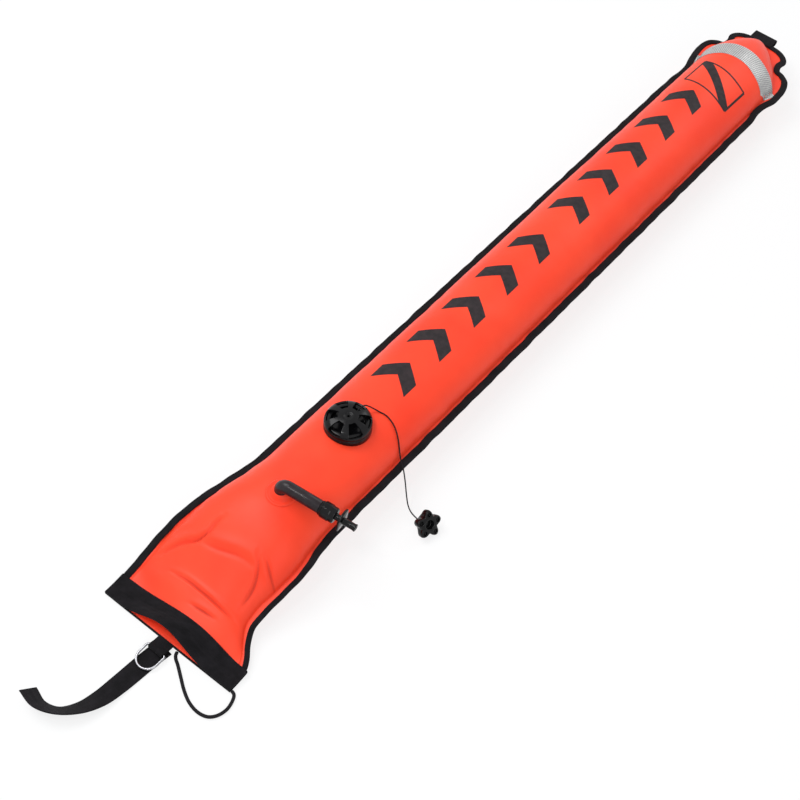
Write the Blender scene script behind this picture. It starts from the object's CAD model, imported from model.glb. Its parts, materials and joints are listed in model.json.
"""Looks of the surface marker buoy: an add-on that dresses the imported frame, run here as a script.

Each operator makes one piece, or a group of like pieces, from the frame's own boxes and the sizes
below. Lengths are in metres, +Y runs along the tube from its mouth to its head, and +Z is up.
"""

import json
from math import atan2, ceil, cos, degrees, pi, radians, sin

import bmesh
import bpy
import numpy as np
from bpy.props import FloatProperty, FloatVectorProperty, PointerProperty
from mathutils import Matrix, Quaternion, Vector
from mathutils.bvhtree import BVHTree


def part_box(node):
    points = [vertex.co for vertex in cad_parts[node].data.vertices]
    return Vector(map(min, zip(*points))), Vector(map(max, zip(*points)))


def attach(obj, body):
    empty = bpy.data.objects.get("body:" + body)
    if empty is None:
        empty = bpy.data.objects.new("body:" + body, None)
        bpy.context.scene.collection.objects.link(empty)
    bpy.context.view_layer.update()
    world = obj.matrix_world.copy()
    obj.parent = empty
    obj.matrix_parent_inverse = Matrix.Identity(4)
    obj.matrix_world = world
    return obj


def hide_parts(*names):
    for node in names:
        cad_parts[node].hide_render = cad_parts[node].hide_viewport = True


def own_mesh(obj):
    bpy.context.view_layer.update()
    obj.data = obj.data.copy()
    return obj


bl_info = {
    "name": "Surface Marker Buoy",
    "version": (1, 0, 0),
    "blender": (4, 5, 0),
    "location": "3D View > Sidebar > Buoy",
    "description": "Dresses the frame of a diver's surface marker buoy with cloth, webbing and fittings",
    "category": "Object",
}

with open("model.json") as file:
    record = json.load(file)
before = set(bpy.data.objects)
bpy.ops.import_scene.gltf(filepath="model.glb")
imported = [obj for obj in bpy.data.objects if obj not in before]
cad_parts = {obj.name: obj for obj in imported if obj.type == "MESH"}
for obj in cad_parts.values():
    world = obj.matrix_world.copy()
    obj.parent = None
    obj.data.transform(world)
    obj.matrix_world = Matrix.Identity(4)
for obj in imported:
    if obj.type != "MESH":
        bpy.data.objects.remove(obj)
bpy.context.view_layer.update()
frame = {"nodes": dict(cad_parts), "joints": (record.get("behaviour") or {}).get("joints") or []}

# Camera that matches the photograph
CAMERA_PLACE = (0.5304, -0.9608, 1.2585)
CAMERA_TARGET = (0.0040, -0.1945, 0.0400)
CAMERA_LENS = 71.04
CAMERA_SENSOR = 36.0
CAMERA_ROLL = radians(5.447)

# Bag, from the frame's front panel
BAG_LOW, BAG_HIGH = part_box("front_panel")
MOUTH_Y = BAG_LOW.y
HEAD_Y = BAG_HIGH.y
TUBE_EDGE = 0.0550
MOUTH_EDGE = 0.0747
FLANGE = 0.0085
SEAM_HEIGHT = 0.0360
LIP_HEIGHT = 0.00265
LAYER = 0.00095
SEAM_LAYER = 0.00045
BAND_LIFT = 0.00035
TUBE_BOW = 0.0357
LIP_BOW = 0.0120
FLOOR_PRESS = 0.0030
CLOTH = 0.00035
FLOOR_GAP = 0.0004

# How the mouth opens out of the tube, from part.py: (start, length) from the mouth
FLARES = {-1: (0.058, 0.135), 1: (0.017, 0.040)}
RIGHT_HIP = 0.0055
RIGHT_HIP_PLACE = 0.112
RIGHT_HIP_LENGTH = 0.055
SEAM_SINK = 0.135
FRONT_SINK = 0.165
BINDING_START = 0.0195
BAND_END = 0.0235
BAND_DEPTH = 0.0220
WEBBING = 0.0014

# Front lip of the mouth: a soft peak, drawn back, whose crest runs to the right up the cloth
LIP_PEAK_POWER = 6.0
LIP_PEAK_LENGTH = 0.040
LIP_SETBACK = 0.0045
LIP_SETBACK_LENGTH = 0.030
LIP_PEAK_X = -0.006
CREST_X = 0.014
CREST_START = 0.022
CREST_LENGTH = 0.070

# Head of the bag
HEAD_OUTLINE = [
    (0.0000, 0.0000),
    (0.0180, 0.0010),
    (0.0310, 0.0060),
    (0.0375, 0.0150),
    (0.0365, 0.0260),
    (0.0385, 0.0340),
    (0.0455, 0.0365),
    (0.0535, 0.0430),
    (0.0580, 0.0530),
    (0.0590, 0.0640),
]
EAR_END = 0.0720
WAIST_BELOW_HEAD = 0.108
WAIST_DEPTH = 0.0020
WAIST_LENGTH = 0.030
HEAD_LEAN = -0.006
HEAD_LEAN_LENGTH = 0.100
PILLOW_LENGTH = 0.080
PILLOW_GAP = 0.011
PILLOW_HALF_WIDTH = 0.049
PILLOW_DROP = 0.060
PILLOW_POWER = 1.6

# Fittings
VALVE_Y = -0.270
VALVE_HOLE = 0.0203
FOOT = (0.0030, -0.3670)
FOOT_HEIGHT = 0.073527
TUBE_TURN = radians(8.5)
TUBE_TILT = radians(6.0)
TUBE_BEND = 0.0080
TUBE_RISE = 0.0042
TUBE_LENGTH = 0.0330
VALVE_TOP = 0.07265
CORD_DIAMETER = 0.0013
BUNGEE_DIAMETER = 0.0032

# Pull cord's route, the same points as in part.py
CORD_ROUTE = [
    (0.0005, -0.2622, 0.08195),
    (0.0012, -0.2560, 0.08415),
    (0.0022, -0.2490, 0.08415),
    (0.0040, -0.2450, 0.08045),
    (0.0070, -0.2415, 0.07615),
    (0.0120, -0.2385, 0.07242),
    (0.0200, -0.2365, 0.07020),
    (0.0300, -0.2380, 0.06555),
    (0.0390, -0.2425, 0.05783),
    (0.0465, -0.2480, 0.04600),
    (0.0520, -0.2520, 0.04060),
    (0.0577, -0.2561, 0.03980),
    (0.0640, -0.2605, 0.03100),
    (0.0700, -0.2645, 0.01700),
    (0.0750, -0.2675, 0.00850),
    (0.0815, -0.2700, 0.00500),
    (0.09126, -0.27139, 0.00409),
    (0.09366, -0.27188, 0.00582),
    (0.09606, -0.27238, 0.00755),
]

# Bungee's route on the ground, the same points as in part.py
BUNGEE_ROUTE = [
    (0.0146, -0.5193),
    (0.0156, -0.5221),
    (0.0186, -0.5251),
    (0.0241, -0.5283),
    (0.0348, -0.5356),
    (0.0448, -0.5423),
    (0.0560, -0.5478),
    (0.0674, -0.5499),
    (0.0771, -0.5478),
    (0.0830, -0.5415),
    (0.0854, -0.5327),
    (0.0845, -0.5253),
    (0.0822, -0.5193),
    (0.0798, -0.5168),
    (0.0770, -0.5161),
]

# Folds of the slack cloth behind the mouth: places on the cloth, depth, width and how far the
# ridge beside the fold stands up, below 0 where the ridge is on the fold's right
FOLDS = [
    ([(-0.060, -0.466), (-0.052, -0.454), (-0.043, -0.445), (-0.034, -0.439)], 0.0022, 0.0022, 0.0016),
    (
        [
            (-0.047, -0.448),
            (-0.041, -0.4440),
            (-0.033, -0.4385),
            (-0.029, -0.430),
            (-0.0285, -0.421),
            (-0.025, -0.411),
        ],
        0.0036,
        0.0015,
        0.0012,
    ),
    ([(-0.034, -0.439), (-0.012, -0.437), (0.012, -0.431), (0.030, -0.430)], 0.0015, 0.0026, 0.0014),
    (
        [(-0.039, -0.4712), (-0.019, -0.4700), (0.004, -0.4709), (0.024, -0.4718), (0.043, -0.4719)],
        0.0026,
        0.0011,
        0.0010,
    ),
    (
        [(0.022, -0.419), (0.030, -0.428), (0.035, -0.438), (0.037, -0.448), (0.037, -0.460)],
        0.0024,
        0.0015,
        -0.0016,
    ),
    ([(0.054, -0.431), (0.042, -0.425), (0.029, -0.417)], 0.0020, 0.0016, 0.0014),
    ([(0.053, -0.433), (0.051, -0.447), (0.047, -0.462)], 0.0018, 0.0017, 0.0014),
    ([(-0.003, -0.4840), (0.015, -0.4826), (0.027, -0.4816)], 0.0013, 0.0013, 0.0006),
]

# Creases narrower than this are drawn darkest. A ridge's place and width are in fold widths.
CREASE_WIDTH = 0.0013
RIDGE_OFFSET = 2.6
RIDGE_WIDTH = 1.9
FOLD_STEPS = 10
FOLD_TIP = 0.02
FOLD_FADE_POWER = 0.6

# Rows and columns of the cloth's grid, and its random forms: widths along the bag, reaches as
# turns round it
FINE_ROWS = 200
FINE_LENGTH = 0.170
TUBE_ROWS = 190
CAP_ROWS = 34
BOW_COLUMNS = 91
FLANGE_COLUMNS = 4
RIM_ROWS = 6
RIM_POINTS = 140
SWELLS = 46
SWELL_SEED = 5
SWELL_SPAN = (MOUTH_Y + 0.10, HEAD_Y - 0.06)
SWELL_TURNS = (0.25, pi - 0.25)
SWELL_WIDTHS = (0.018, 0.050)
SWELL_REACHES = (0.25, 0.60)
SWELL_HEIGHT = 0.0011
PLEATS_ON_A_SIDE = 70
PLEAT_SPAN = (MOUTH_Y + 0.03, HEAD_Y - 0.05)
PLEAT_WIDTHS = (0.003, 0.008)
PLEAT_REACHES = (0.20, 0.60)
FRONT_PLEAT_SEED = 11
FRONT_PLEAT_HEIGHT = 0.0012
BACK_PLEAT_SEED = 17
BACK_PLEAT_HEIGHT = 0.0010

# The random forms start this far from the mouth, grow over a length, and die out at the seams
CALM_MOUTH = 0.02
CALM_GROWS = 0.08
CALM_SEAM_POWER = 0.35

# Print: bold plain chevrons in two groups, and a plain flag with a diagonal bar
MARK_PITCH = 0.0560
MARK_GROUPS = (-0.1910, 0.1060)
MARKS_IN_GROUP = 5
MARK_HALF_WIDTH = 0.0205
MARK_BAR = 0.0190
MARK_RISE = 0.0160
MARK_X = -0.0030
MARK_DRIFT = -0.010
FLAG_CORNERS = [(-0.029, 0.364), (-0.027, 0.405), (0.033, 0.394), (0.032, 0.353)]
FLAG_LINE = 0.0021
FLAG_LINE_POINTS = 34
PRINT_CELL = 0.0015
FLAG_BAR = 0.0106

# Edge binding: how its sewn edge wavers, how far it is calm at its ends, and the shares of its
# width on the mouth's right and of its height under the mouth bands
BINDING_SPACING = 0.0022
BINDING_SEED = 3
BINDING_PITCHES = (0.021, 0.034, 0.055)
BINDING_RISE_PITCH = 1.3
BINDING_CALM = 0.03
BINDING_RIGHT = 0.66
BINDING_GROWS = (0.100, 0.060)
BINDING_UNDER_BAND = 0.45
BINDING_STEPS_UP = 0.0022

# Holes in the front cloth, inside the valve's neck and the inflator's foot
HOLE_LIP = 0.001
FOOT_HOLE = 0.0045

# Lining: where its corners are on the bow in degrees, how far its inner end has closed, its
# gaps to the cloth and the ripples of the closed end
LINING_CORNER = 25
LINING_COLUMNS = 41
LINING_ROWS = 36
LINING_WIDTH = 0.97
LINING_CLOSED = 0.88
LINING_SEAM = 0.0010
LINING_GAP = 0.0012
LINING_SLACK = 0.0028
LINING_SLACKENS = (0.012, 0.020)
LINING_RIPPLE = 0.0004
LINING_WAVES = 23
LINING_DRIFT = 6

# Mouth bands: places along and across them, and the ring and the line that their UVs follow
BAND_STATIONS = 9
BAND_TURNS = 101
BAND_CORNER_RINGS = 6
BAND_UV_RING = 50
BAND_UV_LINE = 4

# Section of a mouth band at the lip: how far it stands before the cloth and under it, how deep
# its bend is against its half height, and how its edges are rolled
BAND_LIP = 0.0017
BAND_INSIDE = 0.0010
BAND_BEND = 0.65
BAND_ROLL = 0.0002
BAND_ROLL_DOWN = 0.0003

# Spacing of the points along the cords
CORD_SPACING = 0.0012
BUNGEE_SPACING = 0.0015

# Head loop: how far its middle line is inside the CAD box, and the straight length at its ends
HEAD_LOOP_INSET = 0.0007
HEAD_LOOP_LEG = 0.003

# Reflective tape: it bends towards the mouth beside the middle
TAPE_WIDTH = 0.0250
TAPE_MIDDLE = 0.4400
TAPE_LEFT = -0.0505
TAPE_RIGHT = 0.0485
TAPE_BEND = 4.2
TAPE_STRAIGHT = 0.03
TAPE_POINTS = 90
TAPE_COLUMNS = 16

# Tab round the ring's bar, and the strap under it: (x, y, tilt in degrees)
STRAP_THICKNESS = 0.0013
TAB_TURN = radians(2.0)
TAB_RADIUS = 0.0022
TAB_REACH = 0.0118
TAB_WIDTH = 0.0170
STRAP_WIDTH = 0.0195
STRAP_ROUTE = [
    (0.0025, -0.5225, 0),
    (0.0008, -0.5360, 0),
    (-0.0005, -0.5520, 0),
    (-0.0020, -0.5750, 4),
    (-0.0040, -0.5950, 14),
    (-0.0095, -0.6130, 32),
    (-0.0215, -0.6280, 46),
    (-0.0385, -0.6340, 44),
    (-0.0560, -0.6300, 38),
]

# Raised weld round the inflator's foot: (radius, lift off the cloth). Inside the loose radius
# there is no cloth to lie on.
PATCH_PROFILE = [
    (0.0065, 0.0056),
    (0.0071, 0.0052),
    (0.0080, 0.0040),
    (0.0090, 0.0024),
    (0.0101, 0.0011),
    (0.0112, 0.0007),
    (0.0121, 0.0012),
    (0.0129, 0.0014),
    (0.0137, 0.0010),
    (0.0143, 0.0006),
    (0.0145, 0.0001),
]
PATCH_LOOSE_RADIUS = 0.0075
PATCH_STEPS = 72

# Profiles that are turned, as (radius, height)
ROUND_STEPS = 40
CAP_PROFILE = [
    (0.0230, 0.00235),
    (0.0230, 0.0034),
    (0.0224, 0.0037),
    (0.0224, 0.0041),
    (0.0230, 0.0044),
    (0.0230, 0.0055),
    (0.02295, 0.0066),
    (0.0226, 0.0078),
    (0.0218, 0.0093),
    (0.0203, 0.0109),
    (0.0180, 0.0124),
    (0.0150, 0.0135),
    (0.0121, 0.0142),
    (0.0096, 0.0146),
    (0.0074, 0.0149),
    (0.0058, 0.0151),
    (0.0044, 0.0151),
    (0.0037, 0.0147),
    (0.0033, 0.0142),
    (0.0020, 0.0141),
    (0.0013, 0.0141),
]
CAP_STEPS = 48
CAP_WALL = 0.0016
BOSS_PROFILE = [
    (0.0013, 0.0129),
    (0.0056, 0.0129),
    (0.0060, 0.0139),
    (0.0013, 0.0139),
    (0.0013, 0.0129),
]
NUT_SIDES = 10
NUT_PROFILE = [
    (0.0063, 0.0022),
    (0.0078, 0.0022),
    (0.0083, 0.0029),
    (0.0083, 0.0100),
    (0.0077, 0.0112),
    (0.0077, 0.0150),
    (0.0068, 0.0162),
    (0.0038, 0.0162),
    (0.0038, 0.0148),
    (0.0063, 0.0148),
    (0.0063, 0.0022),
]
PIPE_PROFILE = [
    (0.0016, -0.0150),
    (0.0032, -0.0150),
    (0.0032, 0.0137),
    (0.0046, 0.0137),
    (0.0046, 0.0145),
    (0.0032, 0.0145),
    (0.0032, 0.0208),
    (0.0110, 0.0213),
    (0.0114, 0.0224),
    (0.0110, 0.0235),
    (0.0034, 0.0240),
    (0.0033, 0.0350),
    (0.0037, 0.0359),
    (0.0037, 0.0366),
    (0.0033, 0.0372),
    (0.0016, 0.0372),
    (0.0016, -0.0150),
]

# Cubes that cut the mouthpiece's flange flat
FLANGE_HEIGHT = 0.0224
FLAT_TOOL_SIZE = 0.0200
FLAT_TOOL_PLACE = 0.0185

# Elbow: the radius of its foot, (height, radius) above it, its wall and its rounded end
ELBOW_FOOT = 0.0066
ELBOW_RADII = [(0.0021, 0.0064), (TUBE_RISE, 0.0063)]
ELBOW_WALL = 0.0014
ELBOW_END = 0.0006
ELBOW_END_SHARE = 0.94
ELBOW_SIDES = 40
ELBOW_STEPS = 20

# Windows of the valve's cap: between two radii, and half their turn in degrees
WINDOWS = 6
WINDOW_FIRST = 30
WINDOW_NEAR = 0.0100
WINDOW_FAR = 0.0224
WINDOW_HALF_TURN = 18.5

# Studio: what lights the object as sky, and the lamps as (name, place, size, watts)
SKY = (0.93, 0.96, 1.0, 1)
SKY_STRENGTH = 0.52
WHITE = (1, 1, 1, 1)
FLOOR_SIZE = 9.0
FLOOR_DROP = 0.0002
FLOOR_GLOW = 0.80
LAMP_TARGET = (0, -0.1, 0.03)
LAMPS = [
    ("key_lamp", (-1.1, -0.5, 1.9), 1.3, 27.0),
    ("fill_lamp", (1.6, -1.2, 1.5), 0.9, 9.0),
    ("head_lamp", (0.2, 1.9, 1.6), 1.2, 10.0),
    ("spark_lamp", (-0.1, -1.0, 1.6), 0.16, 4.2),
]


# Colour and node helpers


def linear(code):
    """A six-digit sRGB colour as linear red, green and blue."""
    parts = [int(code[k : k + 2], 16) / 255 for k in (0, 2, 4)]
    return tuple(p / 12.92 if p <= 0.04045 else ((p + 0.055) / 1.055) ** 2.4 for p in parts)


def add_node(tree, kind, inputs=None, **settings):
    """Adds a node, gives it its settings, and fills or links its inputs by name or number."""
    made = tree.nodes.new(kind)
    for name, value in settings.items():
        setattr(made, name, value)
    for name, value in (inputs or {}).items():
        if isinstance(value, bpy.types.NodeSocket):
            tree.links.new(value, made.inputs[name])
        else:
            made.inputs[name].default_value = value
    return made


def new_material(name, **values):
    """A material with one Principled BSDF, and its plain socket values."""
    made = bpy.data.materials.new(name)
    made.use_nodes = True
    shader = made.node_tree.nodes["Principled BSDF"]
    for socket, value in values.items():
        shader.inputs[socket.replace("_", " ")].default_value = value
    return made, made.node_tree, shader


def colours():
    """The colours that the panel shows."""
    return bpy.context.scene.buoy_colours


def sizes():
    """The sizes that the panel shows."""
    return bpy.context.scene.buoy_sizes


def put_on(piece, made):
    """Gives a piece one material."""
    piece.data.materials.clear()
    piece.data.materials.append(made)


def once(maker):
    """A maker's material, with the maker's name, made the first time that it is asked for."""
    name = maker.__name__
    return bpy.data.materials.get(name) or maker(name)


# Materials


def wave(tree, coordinate, axis, pitch):
    """A value that runs 0 to 1 and back along one axis of the coordinate, once in each pitch."""
    parts = add_node(tree, "ShaderNodeSeparateXYZ", {"Vector": coordinate})
    turns = add_node(
        tree, "ShaderNodeMath", {0: parts.outputs[axis], 1: 2 * pi / pitch}, operation="MULTIPLY"
    )
    swing = add_node(tree, "ShaderNodeMath", {0: turns.outputs[0]}, operation="SINE")
    height = add_node(
        tree, "ShaderNodeMath", {0: swing.outputs[0], 1: 0.5, 2: 0.5}, operation="MULTIPLY_ADD"
    )
    return height.outputs[0]


def plain_weave(tree, coordinate, pitch):
    """Height of a plain weave: threads along and across take turns on top."""
    across = wave(tree, coordinate, "X", pitch)
    along = wave(tree, coordinate, "Y", pitch)
    return add_node(tree, "ShaderNodeMath", {0: across, 1: along}, operation="MULTIPLY").outputs[0]


def mottled(tree, coordinate, first, second, scale):
    """A slow mix of two colours."""
    noise = add_node(
        tree, "ShaderNodeTexNoise", {"Vector": coordinate, "Scale": scale, "Detail": 3.0, "Roughness": 0.55}
    )
    share = add_node(
        tree, "ShaderNodeMapRange", {"Value": noise.outputs["Fac"], "From Min": 0.35, "From Max": 0.65}
    )
    mix = add_node(
        tree, "ShaderNodeMix", {"Factor": share.outputs[0], 6: (*first, 1), 7: (*second, 1)}, data_type="RGBA"
    )
    return mix.outputs[2]


def wear_colour(tree, shader, coordinate, first, second, scale):
    """Gives the shader a slow mix of a colour and its worn shade."""
    tree.links.new(mottled(tree, coordinate, first, second, scale), shader.inputs["Base Color"])


def wear_gloss(tree, shader, coordinate, scale, detail, smoothest, roughest):
    """Lets the roughness wander between two values, and gives back its noise for a bump."""
    noise = add_node(tree, "ShaderNodeTexNoise", {"Vector": coordinate, "Scale": scale, "Detail": detail})
    share = noise.outputs["Fac"]
    rough = add_node(tree, "ShaderNodeMapRange", {"Value": share, "To Min": smoothest, "To Max": roughest})
    tree.links.new(rough.outputs[0], shader.inputs["Roughness"])
    return share


def bumped(tree, shader, heights):
    """Chains bumps of (height, strength, distance in metres) and gives the last to the shader."""
    normal = None
    for height, strength, distance in heights:
        inputs = {"Height": height, "Strength": strength, "Distance": distance}
        if normal is not None:
            inputs["Normal"] = normal
        normal = add_node(tree, "ShaderNodeBump", inputs).outputs["Normal"]
    tree.links.new(normal, shader.inputs["Normal"])


def cloth_material(name, first, second, roughness):
    # Nylon woven flat and coated with polyurethane: satin, with the threads just showing
    made, tree, shader = new_material(
        name, Roughness=roughness, IOR=1.50, Sheen_Weight=0.04, Sheen_Roughness=0.4, Specular_IOR_Level=0.24
    )
    uv = add_node(tree, "ShaderNodeUVMap").outputs["UV"]
    plain = mottled(tree, uv, first, second, 9.0)
    # Light bounces less in a tight crease, and the coating there is rubbed darker
    crease = add_node(tree, "ShaderNodeAttribute", attribute_name="crease").outputs["Fac"]
    share = add_node(tree, "ShaderNodeMapRange", {"Value": crease, "From Min": 0.25, "To Max": 0.85})
    mix = add_node(
        tree,
        "ShaderNodeMix",
        {"Factor": share.outputs[0], 6: plain, 7: (*colours().cloth_crease, 1)},
        data_type="RGBA",
    )
    tree.links.new(mix.outputs[2], shader.inputs["Base Color"])
    # Real threads are 0.35 mm apart. They are drawn at 0.8 mm so that they show from close by.
    weave = plain_weave(tree, uv, 0.0008)
    slack = add_node(
        tree, "ShaderNodeTexNoise", {"Vector": uv, "Scale": 60.0, "Detail": 4.0, "Roughness": 0.5}
    )
    bumped(tree, shader, [(slack.outputs["Fac"], 0.35, 0.0012), (weave, 0.25, 0.00012)])
    return made


def coated_nylon_orange(name):
    return cloth_material(name, colours().cloth, colours().cloth_deep, 0.44)


def coated_nylon_lining(name):
    return cloth_material(name, colours().lining, colours().lining_deep, 0.5)


def woven_black(name, pitch, strength):
    # Polyester yarn woven thick: matt, with ribs that catch the light in a herringbone
    made, tree, shader = new_material(
        name, Roughness=0.82, IOR=1.50, Sheen_Weight=0.03, Sheen_Roughness=0.5, Specular_IOR_Level=0.08
    )
    uv = add_node(tree, "ShaderNodeUVMap").outputs["UV"]
    colour = mottled(tree, uv, colours().webbing, colours().webbing_worn, 70.0)
    parts = add_node(tree, "ShaderNodeSeparateXYZ", {"Vector": uv})
    fold = add_node(tree, "ShaderNodeMath", {0: parts.outputs["X"], 1: 0.0032}, operation="PINGPONG")
    slant = add_node(tree, "ShaderNodeMath", {0: fold.outputs[0], 1: parts.outputs["Y"]}, operation="ADD")
    ribs = add_node(tree, "ShaderNodeMath", {0: slant.outputs[0], 1: 2 * pi / pitch}, operation="MULTIPLY")
    swing = add_node(tree, "ShaderNodeMath", {0: ribs.outputs[0]}, operation="SINE")
    fine = plain_weave(tree, uv, pitch * 0.6)
    lit = add_node(
        tree,
        "ShaderNodeMapRange",
        {"Value": swing.outputs[0], "From Min": -1.0, "To Min": 0.75, "To Max": 1.2},
    )
    ribbed = add_node(
        tree,
        "ShaderNodeMix",
        {"Factor": 1.0, 6: colour, 7: lit.outputs[0]},
        data_type="RGBA",
        blend_type="MULTIPLY",
    )
    tree.links.new(ribbed.outputs[2], shader.inputs["Base Color"])
    bumped(tree, shader, [(swing.outputs[0], strength, 0.00022), (fine, strength, 0.00012)])
    return made


def polyester_webbing(name):
    # Webbing's ribs are 1.3 mm apart, as on 20 mm strap
    return woven_black(name, 0.0013, 0.5)


def grosgrain_binding(name):
    # Binding is thinner tape, with ribs 0.9 mm apart
    return woven_black(name, 0.0009, 0.4)


def screen_ink(name):
    # Screen ink lies flat on the coating and takes its threads
    made, tree, shader = new_material(name, Roughness=0.55, IOR=1.48, Specular_IOR_Level=0.18)
    place = add_node(tree, "ShaderNodeTexCoord").outputs["Object"]
    wear_colour(tree, shader, place, colours().ink, colours().ink_worn, 160.0)
    bumped(tree, shader, [(plain_weave(tree, place, 0.0008), 0.2, 0.0001)])
    return made


def glass_bead_tape(name):
    # Silver beads on cloth under a fine net: grey from the side, bright where it faces the light
    made, tree, shader = new_material(name, Roughness=0.38, Metallic=0.35, IOR=1.5)
    uv = add_node(tree, "ShaderNodeUVMap").outputs["UV"]
    # The net's meshes are drawn 2.4 mm wide, as they show in the photograph
    across = wave(tree, uv, "X", 0.0024)
    along = wave(tree, uv, "Y", 0.0024)
    net = add_node(tree, "ShaderNodeMath", {0: across, 1: along}, operation="MAXIMUM")
    thread = add_node(
        tree, "ShaderNodeMapRange", {"Value": net.outputs[0], "From Min": 0.80, "From Max": 0.97}
    )
    silver = mottled(tree, uv, colours().silver, colours().silver_dull, 55.0)
    mix = add_node(
        tree,
        "ShaderNodeMix",
        {"Factor": thread.outputs[0], 6: silver, 7: (*colours().silver_net, 1)},
        data_type="RGBA",
    )
    tree.links.new(mix.outputs[2], shader.inputs["Base Color"])
    bumped(tree, shader, [(thread.outputs[0], 0.5, 0.00015)])
    return made


def moulded_nylon_black(name):
    # Injection-moulded plastic with a polished tool finish and handling marks
    made, tree, shader = new_material(name, IOR=1.53, Specular_IOR_Level=0.18)
    place = add_node(tree, "ShaderNodeTexCoord").outputs["Object"]
    wear_colour(tree, shader, place, colours().plastic, colours().plastic_worn, 90.0)
    wear = wear_gloss(tree, shader, place, 240.0, 5.0, 0.10, 0.24)
    bumped(tree, shader, [(wear, 0.06, 0.0003)])
    return made


def moulded_rubber_grey(name):
    # Moulded rubber with a fine blasted surface
    made, tree, shader = new_material(name, IOR=1.52, Specular_IOR_Level=0.20)
    place = add_node(tree, "ShaderNodeTexCoord").outputs["Object"]
    wear_colour(tree, shader, place, colours().rubber, colours().rubber_worn, 120.0)
    grain = wear_gloss(tree, shader, place, 1400.0, 2.0, 0.18, 0.32)
    bumped(tree, shader, [(grain, 0.18, 0.0002)])
    return made


def stainless_steel(name):
    # Round wire, drawn and tumbled: bright, with faint scratches
    made, tree, shader = new_material(name, Metallic=1.0)
    place = add_node(tree, "ShaderNodeTexCoord").outputs["Object"]
    wear_colour(tree, shader, place, colours().steel, colours().steel_dull, 150.0)
    wear_gloss(tree, shader, place, 900.0, 3.0, 0.10, 0.26)
    return made


def braided_sheath(name):
    # Braided polyester over rubber: two sets of yarns wind round each other
    made, tree, shader = new_material(
        name, Roughness=0.70, IOR=1.5, Sheen_Weight=0.02, Specular_IOR_Level=0.12
    )
    uv = add_node(tree, "ShaderNodeUVMap").outputs["UV"]
    parts = add_node(tree, "ShaderNodeSeparateXYZ", {"Vector": uv})
    both = {0: parts.outputs["X"], 1: parts.outputs["Y"]}
    one = add_node(tree, "ShaderNodeMath", both, operation="ADD")
    other = add_node(tree, "ShaderNodeMath", both, operation="SUBTRACT")
    crossed = add_node(tree, "ShaderNodeCombineXYZ", {"X": one.outputs[0], "Y": other.outputs[0]})
    braid = plain_weave(tree, crossed.outputs[0], 0.0016)
    wear_colour(tree, shader, uv, colours().webbing, colours().webbing_worn, 300.0)
    bumped(tree, shader, [(braid, 0.6, 0.0003)])
    return made


# Shape helpers


def step(value, start=0.0, length=1.0):
    """Smooth 0 to 1 over a length, for one value or many."""
    share = np.clip((np.asarray(value, float) - start) / length, 0.0, 1.0)
    return share * share * (3 - 2 * share)


def smooth_path(points, steps):
    """Catmull-Rom curve through the points, with a number of steps between each two."""
    points = [np.array(point, float) for point in points]
    padded = [2 * points[0] - points[1], *points, 2 * points[-1] - points[-2]]
    path = []
    for before, start, end, after in zip(padded, padded[1:], padded[2:], padded[3:]):
        for t in np.arange(steps) / steps:
            bend = 2 * before - 5 * start + 4 * end - after
            swing = 3 * start - before - 3 * end + after
            path.append(start + 0.5 * t * (end - before + t * (bend + t * swing)))
    return np.array(path + [points[-1]])


def run_length(path):
    """Length along a path at each of its points."""
    gaps = np.linalg.norm(np.diff(path, axis=0), axis=1)
    return np.concatenate([[0.0], np.cumsum(gaps)])


def even_path(points, spacing):
    """A smooth curve through the points, with its own points evenly spaced."""
    fine = smooth_path(points, 16)
    lengths = run_length(fine)
    count = max(2, ceil(lengths[-1] / spacing))
    wanted = np.linspace(0, lengths[-1], count + 1)
    return np.stack([np.interp(wanted, lengths, fine[:, k]) for k in range(fine.shape[1])], axis=1)


def in_scene(name, mesh):
    """A new object with this mesh."""
    piece = bpy.data.objects.new(name, mesh)
    bpy.context.scene.collection.objects.link(piece)
    return piece


def grid_piece(name, points, uvs):
    """A sheet from a grid of points, with rows first, and one pair of UVs for each point."""
    rows, columns = points.shape[:2]
    faces = []
    for i in range(rows - 1):
        for j in range(columns - 1):
            k = i * columns + j
            faces.append((k, k + 1, k + columns + 1, k + columns))
    mesh = bpy.data.meshes.new(name)
    mesh.from_pydata([tuple(point) for point in points.reshape(-1, 3)], [], faces)
    layer = mesh.uv_layers.new(name="UVMap")
    uvs = uvs.reshape(-1, 2)
    for loop in mesh.loops:
        layer.data[loop.index].uv = uvs[loop.vertex_index]
    mesh.validate()
    mesh.shade_smooth()
    return in_scene(name, mesh)


def alone(piece):
    """Selects this piece only, and makes it the active one."""
    bpy.ops.object.select_all(action="DESELECT")
    piece.select_set(True)
    bpy.context.view_layer.objects.active = piece


def apply_modifier(piece, kind, **settings):
    """Adds a modifier with its settings and applies it."""
    modifier = piece.modifiers.new(kind.lower(), kind)
    for name, value in settings.items():
        setattr(modifier, name, value)
    alone(piece)
    bpy.ops.object.modifier_apply(modifier=modifier.name)


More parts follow.
